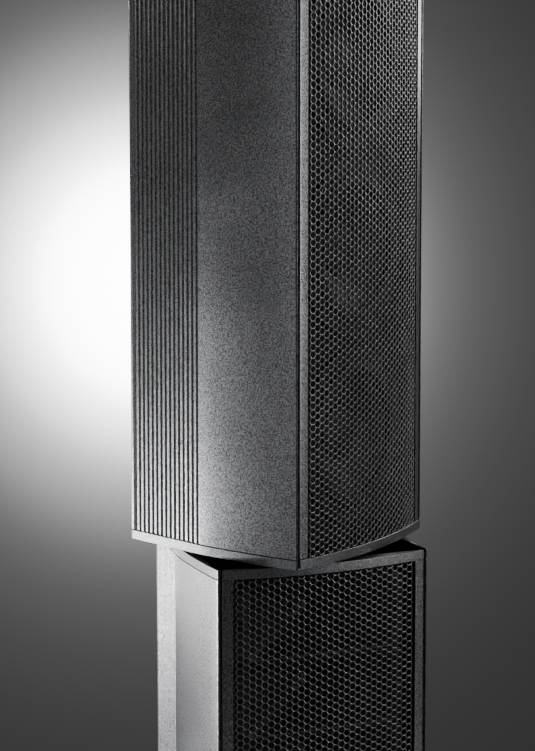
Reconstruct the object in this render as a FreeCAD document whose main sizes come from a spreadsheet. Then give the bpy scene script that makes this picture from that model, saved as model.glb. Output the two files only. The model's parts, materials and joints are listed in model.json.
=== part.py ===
import FreeCAD, Part

import math
import os
import re

import Sketcher
from FreeCAD import Placement, Rotation, Vector

# A two-part column loudspeaker. The lower module stands on its bottom plate and holds a stack
# of eight high-frequency horns. The upper module holds six cone drivers and turns about a
# vertical spindle that joins the two. Both are cut from one extruded outline, seen from above:
# the front is an arc of perforated grille between two trim strips, the sides bow out a little as
# far as a crease, and from there they run in, ribbed, to the rear corners.
#
# Millimetres, +Z up. The origin is on the spindle's axis, in the plane of the underside, and the
# lower module faces -Y. Every node is drawn in its own module's frame, and the upper module's
# nodes are lifted and turned into place by their Placement.

DIMENSIONS = {
    # Outline from above
    "front_mid": 96.5,        # axis to the foremost point of the end plates
    "front_radius": 410,
    "flange_x": 102.5,        # outer edge of the trim strip
    "groove_back": 79,        # axis to the bottom of the groove beside the trim
    "groove_x": 105.5,        # outer wall of that groove
    "edge_x": 106.3,          # flat front edge of the side panel
    "edge_front": 82.2,
    "panel_x": 107.1,         # end of the bevel, where the side's bow starts
    "panel_front": 80.4,
    "side_radius": 627,
    "crease_x": 108.5,
    "crease_y": 26.5,
    "side_lean": 8.2,         # degrees that the ribbed part of the side turns in
    "rear_y": 122.5,
    "corner": 6,
    # Shell
    "wall": 3.5,
    "rail_x": 102,            # inner face of the front rail
    "ledge_x": 94,            # inner edge of the ledge that the baffle rests on
    "ledge_back": 58,
    "inner_x": 105,
    "inner_corner": 4,
    "boss_radius": 9,
    "front_boss_x": 98,
    "front_boss_y": -46,
    "mid_boss_x": 95.5,
    "mid_boss_y": 45,
    "rear_boss_x": 85.5,
    "rear_boss_y": 110.5,
    "rib_pitch": 6.06,
    "rib_first": 2.1,         # crease to the middle of the first groove
    "rib_radius": 2.1,        # of the ridges and of the grooves between them
    # Heights
    "plate": 9,
    "seam": 0.5,
    "seam_inset": 1,
    "seam_window_x": 80,
    "seam_window_front": 74,
    "seam_window_rear": 100,
    "swivel_gap": 4,
    "unit_pitch": 73,
    "unit_count": 8,
    "unit_margin": 11,
    "woofer_pitch": 175.5,
    "woofer_count": 6,
    "woofer_first": 98.5,     # shell's lower end to the first driver's axis
    "rest_swivel": 31.7,      # degrees that the upper module is turned at rest
    # Trim, grille and baffle
    "trim_inset": 0.3,
    "trim_inner": 93,
    "trim_flange_back": 81.5,
    "trim_leg_x": 99,
    "grille_front": 95.2,
    "grille_radius": 400,
    "grille_half": 91.5,
    "grille_sheet": 1.5,
    "grille_return": 75,      # axis to the back edge of the grille's folded sides
    "grille_end_gap": 0.6,
    "edging_x": 86,
    "baffle_front": 70,
    "baffle_back": 64,
    "baffle_half": 101.5,
    "baffle_end_gap": 1,
    "baffle_window_x": 77,
    "basket_hole": 72,
    # Plate screws, M5 countersunk
    "plate_screw": 2.5,
    "plate_screw_play": 0.1,
    "plate_screw_head": 4.9,
    "plate_screw_sink": 0.2,
    "plate_screw_length": 22,
    # Cone driver: radii from its axis, and distances forward of the spindle's axis
    "frame_rim": 83,
    "frame_face": 73.5,
    "frame_inner": 68.5,
    "frame_shoulder": 71.5,
    "shelf_front": 44,
    "shelf_outer": 52,
    "shelf_inner": 48,
    "shelf_wall": 54.8,
    "motor_face": 34,
    "frame_floor": 37,
    "frame_floor_inner": 24,
    "frame_heel": 51,
    "frame_heel_front": 38,
    "roll_outer": 68.4,
    "roll_inner": 57.6,
    "roll_radius": 5.8,
    "roll_sheet": 1,
    "roll_lip": 74,
    "cone_rim": 57.2,
    "cone_rim_front": 72.7,
    "cone_neck": 19.2,
    "cone_neck_front": 52.2,
    "cone_sheet": 1.2,
    "cap_rim": 26,
    "cap_rim_front": 56.9,
    "cap_apex": 63,
    "cap_sheet": 1,
    "former_inner": 18.7,
    "former_front": 53,
    "former_back": 24,
    "coil_outer": 19.7,
    "coil_front": 36,
    "coil_back": 27,
    "spider_inner": 20.2,
    "spider_outer": 51.3,
    "spider_sheet": 1,
    "pole": 18,
    "pole_front": 36,
    "top_plate_bore": 20.4,
    "top_plate_outer": 50,
    "top_plate_back": 28,
    "magnet_bore": 26,
    "magnet_outer": 55,
    "magnet_back": 14,
    "yoke_outer": 50,
    "yoke_back": 8,
    "driver_screw_offset": 55.5,
    "driver_screw": 2.2,
    "driver_screw_head": 4,
    "driver_screw_rise": 3,
    "driver_screw_end": 65,
    # High-frequency unit
    "horn_flange_x": 84,
    "horn_flange_z": 36.3,
    "mouth_x": 73,
    "mouth_z": 33.5,
    "throat": 12,
    "horn_wall": 2,
    "throat_front": 20,
    "driver_front": 16,
    "throat_ring": 28,
    "plug_radius": 9,
    "plug_waist": 7,
    "plug_waist_front": 22,
    "plug_tip": 34,
    "hf_magnet_radius": 29,
    "hf_magnet_back": 8,
    "hf_cap_radius": 27,
    "hf_cap_back": 26,
    "hf_cap_round": 5,
    "horn_screw_x": 80,
    "horn_screw": 1.75,
    "horn_screw_head": 3.2,
    "horn_screw_rise": 2.4,
    # Crossover board against the rear wall
    "board_half": 60,
    "board_low": 60,
    "board_high": 220,
    "board_front": 108,
    "board_sheet": 1.6,
    "board_post": 4,
    "board_post_x": 52,
    "inductor_radius": 22,
    "inductor_bore": 9,
    "inductor_rise": 16,
    "capacitor_radius": 9,
    "capacitor_rise": 30,
    # Connection plate on the rear face
    "terminal_half": 42,
    "terminal_low": 240,
    "terminal_high": 300,
    "terminal_sheet": 3,
    "terminal_corner": 4,
    "terminal_window": 30,
    "terminal_screw_x": 36,
    "block_half": 27,
    "block_low": 258,
    "block_high": 282,
    "block_rise": 12,
    "block_pole_pitch": 13,
    "block_screw": 3.4,
    "small_screw": 1.75,
    "small_screw_head": 3.2,
    "small_screw_rise": 2,
    "small_screw_length": 9,
    # Wadding
    "wadding_half": 72,
    "wadding_front": 105,
    "wadding_low": 330,
    "wadding_end": 20,
    # Threaded inserts
    "base_insert_offset": 60,
    "rig_insert_circle": 50,
    "plate_insert_outer": 8,
    "plate_insert_bore": 5,
    "rear_insert_x": 50,
    "rear_insert_low": 120,
    "rear_insert_spacing": 200,
    "rear_insert_outer": 6.5,
    "rear_insert_bore": 4,
    "rear_insert_length": 12,
    # Swivel
    "spindle": 14,
    "spindle_bore": 6,
    "spindle_play": 0.06,
    "spindle_flange": 32,
    "spindle_flange_rise": 5,
    "spindle_screw_circle": 24,
    "spindle_screw": 2.5,
    "spindle_screw_head": 4.2,
    "spindle_screw_rise": 3,
    "bush_outer": 17,
    "bush_flange": 24,
    "bush_flange_rise": 1.5,
    "spring_rise": 4,
    "spring_dish": 0.3,
    "spring_sheet": 1.4,
    "nut_reach": 22,
    "nut_rise": 12,
    "nut_clear": 1,
    "ring_inner": 20,
    "ring_outer": 45,
    "ring_rise": 2,
    "ring_screw_circle": 36,
    "ring_screw": 1.5,
    "ring_screw_head": 3,
    "ring_screw_length": 8,
}

LOWER_LENGTH = "(unit_count * unit_pitch + 2 * unit_margin)"
UPPER_LENGTH = "((woofer_count - 1) * woofer_pitch + 2 * woofer_first)"
SHELL_BASE = "(plate + seam)"
LOWER_PLATE_TOP = f"(2 * plate + 2 * seam + {LOWER_LENGTH})"
UPPER_BASE = f"({LOWER_PLATE_TOP} + swivel_gap)"
LENGTHS = {"lower": LOWER_LENGTH, "upper": UPPER_LENGTH}
REAR_X = "(crease_x - (rear_y - corner - crease_y) * tan(side_lean))"
RIBS = 15
RIB_RISE = "(rib_radius - sqrt(rib_radius ^ 2 - (rib_pitch / 4) ^ 2))"
PLATE_BOSSES = [
    ("front_boss_x", "front_boss_y"),
    ("mid_boss_x", "mid_boss_y"),
    ("rear_boss_x", "rear_boss_y"),
]

TERMINAL_INSET = "(terminal_half - terminal_screw_x)"
TERMINAL_SCREWS = [
    (f"{side}terminal_screw_x", height)
    for side in ("-", "")
    for height in (f"terminal_low + {TERMINAL_INSET}", f"terminal_high - {TERMINAL_INSET}")
]

doc = FreeCAD.newDocument("line_array_speaker")
dims = doc.addObject("Spreadsheet::Sheet", "dims")
nodes = []


def fill_sheet():
    for row, (alias, size) in enumerate(DIMENSIONS.items(), start=1):
        dims.set(f"A{row}", alias)
        dims.set(f"B{row}", str(size))
        dims.setAlias(f"B{row}", alias)
    doc.recompute()


def formula(text):
    """A size written with the names of driving dimensions, as an expression on the sheet."""
    return re.sub(r"[a-z]\w*", lambda w: f"dims.{w[0]}" if w[0] in DIMENSIONS else w[0], text)


def amount(text):
    return float(dims.evalExpression(formula(text)))


def bind(feature, **sizes):
    for name, text in sizes.items():
        feature.setExpression(name, formula(text))


def front_face(x, mid="front_mid", radius="front_radius"):
    """Distance forward of the axis, at x, of an arc that crosses the middle plane at mid."""
    return f"({mid} - {radius} + sqrt(({radius}) ^ 2 - ({x}) ^ 2))"


# Bodies, sketches and features

def new_body(label, module):
    body = doc.addObject("PartDesign::Body", label)
    body.Label = label
    if module == "upper":
        body.Placement = Placement(Vector(0, 0, 1), Rotation(Vector(0, 0, 1), 1))
        body.setExpression("Placement.Base.z", formula(UPPER_BASE))
        body.setExpression("Placement.Rotation.Angle", formula("rest_swivel"))
    nodes.append(body)
    return body


def datum(body, role):
    return next(item for item in body.Origin.OriginFeatures if item.Role == role)


def new_sketch(body, plane="XY_Plane", x="0", y="0", z="0"):
    """A sketch on one of the body's planes, moved to x, y, z in the body's frame."""
    sketch = body.newObject("Sketcher::SketchObject", f"{body.Name}_sketch")
    sketch.AttachmentSupport = (datum(body, plane), [""])
    sketch.MapMode = "FlatFace"
    shift = (x, y, z) if plane == "XY_Plane" else (x, z, f"-({y})")
    for axis, text in zip("xyz", shift):
        sketch.setExpression(f"AttachmentOffset.Base.{axis}", formula(text))
    return sketch


def fix_point(sketch, edge, end, x, y):
    for kind, text in (("DistanceX", x), ("DistanceY", y)):
        index = sketch.addConstraint(Sketcher.Constraint(kind, -1, 1, edge, end, amount(text)))
        sketch.setExpression(f"Constraints[{index}]", formula(text))


def fix_radius(sketch, edge, radius):
    index = sketch.addConstraint(Sketcher.Constraint("Radius", edge, amount(radius)))
    sketch.setExpression(f"Constraints[{index}]", formula(radius))


def arc_between(start, end, radius, bend):
    """The short arc from start to end: bend 1 has its centre on the left, -1 on the right."""
    chord = end - start
    reach = math.sqrt(radius ** 2 - (chord.Length / 2) ** 2)
    across = Vector(-chord.y, chord.x, 0).normalize()
    centre = (start + end) * 0.5 + across * reach * bend
    first, last = (start, end) if bend > 0 else (end, start)
    turn = [math.atan2(point.y - centre.y, point.x - centre.x) for point in (first, last)]
    if turn[1] < turn[0]:
        turn[1] += 2 * math.pi
    return Part.ArcOfCircle(Part.Circle(centre, Vector(0, 0, 1), radius), *turn)


def add_loop(sketch, path):
    """A closed outline. Each corner is (x, y), or (x, y, radius, bend) where an arc leaves it."""
    corners = [Vector(amount(corner[0]), amount(corner[1]), 0) for corner in path]
    ends = []
    for index, corner in enumerate(path):
        start = corners[index]
        end = corners[(index + 1) % len(path)]
        if len(corner) == 2:
            edge = sketch.addGeometry(Part.LineSegment(start, end), False)
            ends.append((edge, 1, 2))
            continue
        bend = corner[3]
        edge = sketch.addGeometry(arc_between(start, end, amount(corner[2]), bend), False)
        ends.append((edge, 1, 2) if bend > 0 else (edge, 2, 1))
        fix_radius(sketch, edge, corner[2])
    for index, (edge, start, end) in enumerate(ends):
        following = ends[(index + 1) % len(ends)]
        sketch.addConstraint(Sketcher.Constraint("Coincident", edge, end, *following[:2]))
        fix_point(sketch, edge, start, *path[index][:2])


def add_circle(sketch, x, y, radius):
    circle = Part.Circle(Vector(amount(x), amount(y), 0), Vector(0, 0, 1), amount(radius))
    edge = sketch.addGeometry(circle, False)
    fix_point(sketch, edge, 3, x, y)
    fix_radius(sketch, edge, radius)


def add_pad(body, sketch, length):
    pad = body.newObject("PartDesign::Pad", f"{body.Name}_pad")
    pad.Profile = sketch
    bind(pad, Length=length)
    return pad


def add_pocket(body, sketch):
    """A cut right through, both ways from the sketch."""
    pocket = body.newObject("PartDesign::Pocket", f"{body.Name}_pocket")
    pocket.Profile = sketch
    pocket.Type = "ThroughAll"
    pocket.Midplane = True
    return pocket


def add_block(body, kind, x, y, z):
    """PartDesign::AdditiveBox or SubtractiveBox between two limits along each axis."""
    block = body.newObject(f"PartDesign::{kind}Box", f"{body.Name}_block")
    for side, axis, (low, high) in zip(("Length", "Width", "Height"), "xyz", (x, y, z)):
        block.setExpression(side, formula(f"({high}) - ({low})"))
        block.setExpression(f"Placement.Base.{axis}", formula(low))
    return block


def add_turned(body, profile, axis="Y_Axis", x="0", y="0", z="0", cut=False):
    """A turned shape about a line along Y or Z through x, y, z. The profile's corners are
    (radius, distance along the axis), or with an arc's radius and bend as in add_loop."""
    plane = "XY_Plane" if axis == "Y_Axis" else "XZ_Plane"
    sketch = new_sketch(body, plane, x, y, z)
    add_loop(sketch, profile)
    kind = "Groove" if cut else "Revolution"
    turned = body.newObject(f"PartDesign::{kind}", f"{body.Name}_{kind.lower()}")
    turned.Profile = sketch
    turned.ReferenceAxis = (sketch, ["V_Axis"])
    turned.Angle = 360
    return turned


def add_row(body, features, count, pitch, axis="Z_Axis"):
    row = body.newObject("PartDesign::LinearPattern", f"{body.Name}_row")
    row.Originals = features
    row.Direction = (datum(body, axis), [""])
    bind(row, Length=f"{pitch} * ({count} - 1)", Occurrences=count)
    body.Tip = row
    return row


def add_circle_of(body, features, count):
    ring = body.newObject("PartDesign::PolarPattern", f"{body.Name}_ring")
    ring.Originals = features
    ring.Axis = (datum(body, "Z_Axis"), [""])
    ring.Angle = 360
    ring.Occurrences = count
    body.Tip = ring
    return ring


def add_mirrored(body, features):
    mirror = body.newObject("PartDesign::Mirrored", f"{body.Name}_mirror")
    mirror.Originals = features
    mirror.MirrorPlane = (datum(body, "YZ_Plane"), [""])
    body.Tip = mirror
    return mirror


# Outlines from above

def both_sides(half, front=()):
    """A closed symmetric outline from its right half, which runs from the front to the rear."""
    left = []
    for index in range(len(half) - 1, -1, -1):
        x, y = half[index][:2]
        arc = half[index - 1][2:] if index else front
        left.append((f"-({x})", y, *arc))
    return half + left


def side_outline(inset="0"):
    """Right side of the extrusion from its front edge to the rear face, moved in by inset."""
    return [
        (f"edge_x - {inset}", f"-(edge_front - {inset})"),
        (f"panel_x - {inset}", "-panel_front", f"side_radius - {inset}", 1),
        (f"crease_x - {inset}", "crease_y"),
        (f"{REAR_X} - {inset}", "rear_y - corner", f"corner - {inset}", 1),
        (f"{REAR_X} - corner", f"rear_y - {inset}"),
    ]


def ribbed_side():
    """side_outline with its leaning part made a wave of grooves and ridges. The ridges' tops
    are in the plain side's face, and each groove and each ridge is half a pitch wide."""
    wave = []
    for turn in range(2 * RIBS):
        along = f"(rib_first + (rib_pitch) * ({turn / 2 - 0.25}))"
        x = f"crease_x - {along} * sin(side_lean) - {RIB_RISE} * cos(side_lean)"
        y = f"crease_y + {along} * cos(side_lean) - {RIB_RISE} * sin(side_lean)"
        wave.append((x, y, "rib_radius", 1 if turn % 2 else -1))
    wave[-1] = wave[-1][:2]
    side = side_outline()
    return side[:3] + wave + side[3:]


def plate_outline():
    groove = [
        ("flange_x", f"-{front_face('flange_x')}"),
        ("flange_x", "-groove_back"),
        ("groove_x", "-groove_back"),
        ("groove_x", "-edge_front"),
    ]
    return both_sides(groove + side_outline(), front=("front_radius", 1))


def cavity_outline():
    return both_sides([
        ("groove_x", "-front_mid"),
        ("groove_x", "-groove_back"),
        ("rail_x", "-groove_back"),
        ("rail_x", "-baffle_back"),
        ("ledge_x", "-baffle_back"),
        ("ledge_x", "-ledge_back"),
        ("inner_x", "-ledge_back"),
        ("crease_x - wall", "crease_y"),
        (f"{REAR_X} - wall", "rear_y - wall - inner_corner"),
        (f"{REAR_X} - wall - inner_corner", "rear_y - wall"),
    ])


# Pieces that both modules have

def shell(module):
    body = new_body(f"{module}_shell", module)
    sketch = new_sketch(body, z=SHELL_BASE)
    add_loop(sketch, both_sides(ribbed_side()))
    add_pad(body, sketch, LENGTHS[module])
    sketch = new_sketch(body, z=SHELL_BASE)
    add_loop(sketch, cavity_outline())
    add_pocket(body, sketch)
    sketch = new_sketch(body, z=SHELL_BASE)
    for x, y in PLATE_BOSSES:
        add_circle(sketch, x, y, "boss_radius")
        add_circle(sketch, f"-{x}", y, "boss_radius")
    add_pad(body, sketch, LENGTHS[module])
    add_screw_holes(body, "plate_screw + plate_screw_play / 2")
    rear = ("rear_y - 2 * wall", "rear_y + wall")
    window = ("-terminal_window", "terminal_window")
    add_block(body, "Subtractive", window, rear, ("block_low", "block_high"))
    for x, z in TERMINAL_SCREWS:
        add_rear_hole(body, x, z, "small_screw")
    if module == "lower":
        for x in ("-rear_insert_x", "rear_insert_x"):
            for z in ("rear_insert_low", "rear_insert_low + rear_insert_spacing"):
                add_rear_hole(body, x, z, "rear_insert_outer")


def add_rear_hole(body, x, z, radius):
    hole = tube_profile("0", radius, "0", "2 * wall")
    add_turned(body, hole, "Y_Axis", x, "rear_y - 1.5 * wall", z, cut=True)


def add_screw_holes(body, radius):
    sketch = new_sketch(body, z=SHELL_BASE)
    for x, y in PLATE_BOSSES:
        add_circle(sketch, x, y, radius)
        add_circle(sketch, f"-{x}", y, radius)
    return add_pocket(body, sketch)


def tube_profile(inner, outer, low, high):
    return [(inner, low), (outer, low), (outer, high), (inner, high)]


def countersunk(head, shank, length, way):
    """Profile of a countersunk screw with its head's face at 0. Way is 1 where the shank
    runs up the axis and -1 where it runs down."""
    return [
        ("0", "0"),
        (head, "0"),
        (shank, f"{way} * ({head} - {shank})"),
        (shank, f"{way} * {length}"),
        ("0", f"{way} * {length}"),
    ]


def end_plate(label, module, base, screw_face, way, insert_places=()):
    """An end plate, with countersunk screw holes in the face at screw_face."""
    body = new_body(label, module)
    sketch = new_sketch(body, z=base)
    add_loop(sketch, plate_outline())
    add_pad(body, sketch, "plate")
    play = "plate_screw_play"
    hole = countersunk(f"(plate_screw_head + plate_screw_sink + {play})",
                       f"(plate_screw + {play})", "2 * plate", way)
    cuts = [
        add_turned(body, hole, "Z_Axis", x, y, screw_face, cut=True)
        for x, y in PLATE_BOSSES
    ]
    add_mirrored(body, cuts)
    for x, y in insert_places:
        bore = tube_profile("0", "plate_insert_outer", "0", "plate")
        add_turned(body, bore, "Z_Axis", x, y, base, cut=True)
    return body


def plate_screws(module):
    """M5 countersunk screws: three a side into each end of the shell's screw bosses."""
    body = new_body(f"{module}_plate_screws", module)
    screws = []
    top = f"2 * plate + 2 * seam + {LENGTHS[module]} - plate_screw_sink"
    for face, way in (("plate_screw_sink", 1), (top, -1)):
        profile = countersunk("plate_screw_head", "plate_screw", "plate_screw_length", way)
        for x, y in PLATE_BOSSES:
            screws.append(add_turned(body, profile, "Z_Axis", x, y, face))
    add_mirrored(body, screws)


def seam_gaskets(module):
    """Thin gaskets between the shell's two ends and the end plates, set in from the edge."""
    body = new_body(f"{module}_seam_gaskets", module)
    sketch = new_sketch(body, z="plate")
    add_loop(sketch, both_sides(side_outline("seam_inset")))
    add_loop(sketch, [
        ("-seam_window_x", "-seam_window_front"),
        ("seam_window_x", "-seam_window_front"),
        ("seam_window_x", "seam_window_rear"),
        ("-seam_window_x", "seam_window_rear"),
    ])
    for x, y in PLATE_BOSSES:
        add_circle(sketch, x, y, "plate_screw + plate_screw_play")
        add_circle(sketch, f"-{x}", y, "plate_screw + plate_screw_play")
    sheet = add_pad(body, sketch, "seam")
    add_row(body, [sheet], "2", f"({LENGTHS[module]} + seam)")


def trim(label, module, side):
    """Trim strip that covers the shell's front rail and holds the grille's edge."""
    inner_front = front_face("trim_inner", "front_mid - trim_inset", "front_radius - trim_inset")
    outer_front = front_face("flange_x", "front_mid - trim_inset", "front_radius - trim_inset")
    path = [
        ("trim_inner", f"-{inner_front}", "front_radius - trim_inset", 1),
        ("flange_x", f"-{outer_front}"),
        ("flange_x", "-groove_back"),
        ("rail_x", "-groove_back"),
        ("rail_x", "-baffle_front"),
        ("trim_leg_x", "-baffle_front"),
        ("trim_leg_x", "-trim_flange_back"),
        ("trim_inner", "-trim_flange_back"),
    ]
    if side < 0:
        path = [(f"-({corner[0]})", corner[1], *corner[2:3], *[-1] * len(corner[3:]))
                for corner in path]
    body = new_body(label, module)
    sketch = new_sketch(body, z=SHELL_BASE)
    add_loop(sketch, path)
    add_pad(body, sketch, LENGTHS[module])


def grille(module):
    """Curved perforated sheet with both sides folded back. The holes are left out here."""
    inner_x = "grille_half - grille_sheet"
    inner_radius = "grille_radius - grille_sheet"
    outer_front = front_face("grille_half", "grille_front", "grille_radius")
    inner_front = front_face(inner_x, "grille_front - grille_sheet", inner_radius)
    path = [
        ("-grille_half", f"-{outer_front}", "grille_radius", 1),
        ("grille_half", f"-{outer_front}"),
        ("grille_half", "-grille_return"),
        (inner_x, "-grille_return"),
        (inner_x, f"-{inner_front}", inner_radius, -1),
        (f"-({inner_x})", f"-{inner_front}"),
        (f"-({inner_x})", "-grille_return"),
        ("-grille_half", "-grille_return"),
    ]
    body = new_body(f"{module}_grille", module)
    sketch = new_sketch(body, z="plate + grille_end_gap")
    add_loop(sketch, path)
    add_pad(body, sketch, f"{LENGTHS[module]} + 2 * seam - 2 * grille_end_gap")


def grille_edging(module):
    """Rubber strips on the baffle that the grille's folded sides sit on."""
    body = new_body(f"{module}_grille_edging", module)
    z = (f"{SHELL_BASE} + baffle_end_gap", f"{SHELL_BASE} + {LENGTHS[module]} - baffle_end_gap")
    y = ("-grille_return", "-baffle_front")
    strip = add_block(body, "Additive", ("edging_x", "grille_half"), y, z)
    add_mirrored(body, [strip])


def baffle(module):
    body = new_body(f"{module}_baffle", module)
    z = (f"{SHELL_BASE} + baffle_end_gap", f"{SHELL_BASE} + {LENGTHS[module]} - baffle_end_gap")
    y = ("-baffle_front", "-baffle_back")
    add_block(body, "Additive", ("-baffle_half", "baffle_half"), y, z)
    return body


def crossover(module):
    """Board on four posts against the rear wall, with two inductors and four capacitors."""
    board = new_body(f"{module}_crossover_board", module)
    sheet = ("board_front", "board_front + board_sheet")
    width = ("-board_half", "board_half")
    add_block(board, "Additive", width, sheet, ("board_low", "board_high"))
    post = tube_profile("0", "board_post", "0", "rear_y - wall - board_front - board_sheet")
    inset = "(board_half - board_post_x)"
    posts = [
        add_turned(board, post, "Y_Axis", "-board_post_x", "board_front + board_sheet", z)
        for z in (f"board_low + {inset}", f"board_high - {inset}")
    ]
    add_row(board, posts, "2", "2 * board_post_x", "X_Axis")

    parts = new_body(f"{module}_crossover_parts", module)
    coil = tube_profile("inductor_bore", "inductor_radius", "-inductor_rise", "0")
    can = tube_profile("0", "capacitor_radius", "-capacitor_rise", "0")
    for place in (-1, 1):
        x = f"{place} * board_half / 2"
        z = "board_low + board_half / 2"
        add_turned(parts, coil, "Y_Axis", x, "board_front", z)
    for column in (-1.5, -0.5, 0.5, 1.5):
        x = f"{column} * 3 * capacitor_radius"
        z = "board_high - board_half / 2"
        add_turned(parts, can, "Y_Axis", x, "board_front", z)


def terminals(module):
    """Connection plate over the rear window, with a four-pole screw terminal strip."""
    plate = new_body(f"{module}_terminal_plate", module)
    face = "rear_y + terminal_sheet"
    slab = add_block(plate, "Additive", ("-terminal_half", "terminal_half"), ("rear_y", face),
                     ("terminal_low", "terminal_high"))
    doc.recompute()
    upright = [
        f"Edge{index}" for index, edge in enumerate(slab.Shape.Edges, start=1)
        if abs(edge.tangentAt(edge.FirstParameter).y) > 0.99
    ]
    rounding = plate.newObject("PartDesign::Fillet", f"{plate.Name}_fillet")
    rounding.Base = (slab, upright)
    bind(rounding, Radius="terminal_corner")
    for x, z in TERMINAL_SCREWS:
        hole = tube_profile("0", "small_screw", "0", "terminal_sheet")
        add_turned(plate, hole, "Y_Axis", x, "rear_y", z, cut=True)

    block = new_body(f"{module}_terminal_block", module)
    add_block(block, "Additive", ("-block_half", "block_half"), (face, f"{face} + block_rise"),
              ("block_low", "block_high"))
    poles = [f"{place} * block_pole_pitch" for place in (-1.5, -0.5, 0.5, 1.5)]
    middle = "(block_low + block_high) / 2"
    seat = tube_profile("0", "block_screw", "-block_rise / 2", "0")
    for x in poles:
        add_turned(block, seat, "Y_Axis", x, f"{face} + block_rise", middle, cut=True)

    pole_screws = new_body(f"{module}_terminal_pole_screws", module)
    pole = tube_profile("0", "block_screw", "-block_rise / 2", "-block_rise / 8")
    for x in poles:
        add_turned(pole_screws, pole, "Y_Axis", x, f"{face} + block_rise", middle)

    screws = new_body(f"{module}_terminal_plate_screws", module)
    profile = [
        ("0", "-small_screw_length"),
        ("small_screw", "-small_screw_length"),
        ("small_screw", "0"),
        ("small_screw_head", "0"),
        ("small_screw_head", "small_screw_rise"),
        ("0", "small_screw_rise"),
    ]
    for x, z in TERMINAL_SCREWS:
        add_turned(screws, profile, "Y_Axis", x, face, z)


def wadding(module):
    """Polyester wadding laid along the rear wall."""
    body = new_body(f"{module}_wadding", module)
    add_block(body, "Additive", ("-wadding_half", "wadding_half"),
              ("wadding_front", "rear_y - wall"),
              ("wadding_low", f"{SHELL_BASE} + {LENGTHS[module]} - wadding_end"))


def rear_inserts():
    """Threaded inserts for a wall bracket, two pairs in the lower module's rear wall."""
    body = new_body("rear_inserts", "lower")
    profile = tube_profile("rear_insert_bore", "rear_insert_outer", "-rear_insert_length", "0")
    first = add_turned(body, profile, "Y_Axis", "-rear_insert_x", "rear_y", "rear_insert_low")
    second = add_turned(body, profile, "Y_Axis", "rear_insert_x", "rear_y", "rear_insert_low")
    add_row(body, [first, second], "2", "rear_insert_spacing")


def plate_inserts(label, module, base, places):
    body = new_body(label, module)
    profile = tube_profile("plate_insert_bore", "plate_insert_outer", "0", "plate")
    for x, y in places:
        add_turned(body, profile, "Z_Axis", x, y, base)


# Cone drivers

WOOFER_BASE = f"({SHELL_BASE} + woofer_first)"


def woofer_piece(label, profile, module="upper"):
    """One turned piece of each of the six drivers. The profile's second number is forward."""
    body = new_body(label, module)
    corners = [(corner[0], f"-({corner[1]})", *corner[2:]) for corner in profile]
    turned = add_turned(body, corners, "Y_Axis", z=WOOFER_BASE)
    add_row(body, [turned], "woofer_count", "woofer_pitch")
    return body


def woofers():
    woofer_piece("woofer_frames", [
        ("frame_inner", "frame_face"),
        ("frame_rim", "frame_face"),
        ("frame_rim", "baffle_front"),
        ("frame_shoulder", "baffle_front"),
        ("shelf_wall", "shelf_front"),
        ("frame_heel", "frame_heel_front"),
        ("frame_heel", "motor_face"),
        ("frame_floor_inner", "motor_face"),
        ("frame_floor_inner", "frame_floor"),
        ("shelf_inner", "frame_floor"),
        ("shelf_inner", "shelf_front"),
        ("shelf_outer", "shelf_front"),
        ("frame_inner", "baffle_front"),
    ])
    woofer_piece("woofer_surrounds", [
        ("roll_inner", "frame_face", "roll_radius", 1),
        ("roll_outer", "frame_face"),
        ("roll_lip", "frame_face"),
        ("roll_lip", "frame_face + roll_sheet"),
        ("roll_outer", "frame_face + roll_sheet", "roll_radius", -1),
        ("roll_inner", "frame_face + roll_sheet"),
    ])
    woofer_piece("woofer_spiders", [
        ("spider_inner", "shelf_front"),
        ("spider_outer", "shelf_front"),
        ("spider_outer", "shelf_front + spider_sheet"),
        ("spider_inner", "shelf_front + spider_sheet"),
    ])
    woofer_piece("woofer_top_plates", [
        ("top_plate_bore", "motor_face"),
        ("top_plate_outer", "motor_face"),
        ("top_plate_outer", "top_plate_back"),
        ("top_plate_bore", "top_plate_back"),
    ])
    woofer_piece("woofer_magnets", [
        ("magnet_bore", "top_plate_back"),
        ("magnet_outer", "top_plate_back"),
        ("magnet_outer", "magnet_back"),
        ("magnet_bore", "magnet_back"),
    ])
    woofer_piece("woofer_yokes", [
        ("0", "pole_front"),
        ("pole", "pole_front"),
        ("pole", "magnet_back"),
        ("yoke_outer", "magnet_back"),
        ("yoke_outer", "yoke_back"),
        ("0", "yoke_back"),
    ])
    woofer_piece("woofer_cones", [
        ("cone_rim", "cone_rim_front"),
        ("cone_rim", "cone_rim_front - cone_sheet"),
        ("cone_neck", "cone_neck_front - cone_sheet"),
        ("cone_neck", "cone_neck_front"),
    ])
    dome = "((cap_rim ^ 2 + (cap_apex - cap_rim_front) ^ 2) / (2 * (cap_apex - cap_rim_front)))"
    woofer_piece("woofer_dust_caps", [
        ("0", "cap_apex", dome, 1),
        ("cap_rim", "cap_rim_front"),
        ("cap_rim", "cap_rim_front - cap_sheet", dome, -1),
        ("0", "cap_apex - cap_sheet"),
    ])
    woofer_piece("woofer_voice_coils", [
        ("former_inner", "former_front"),
        ("cone_neck", "former_front"),
        ("cone_neck", "coil_front"),
        ("coil_outer", "coil_front"),
        ("coil_outer", "coil_back"),
        ("cone_neck", "coil_back"),
        ("cone_neck", "former_back"),
        ("former_inner", "former_back"),
    ])


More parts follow.
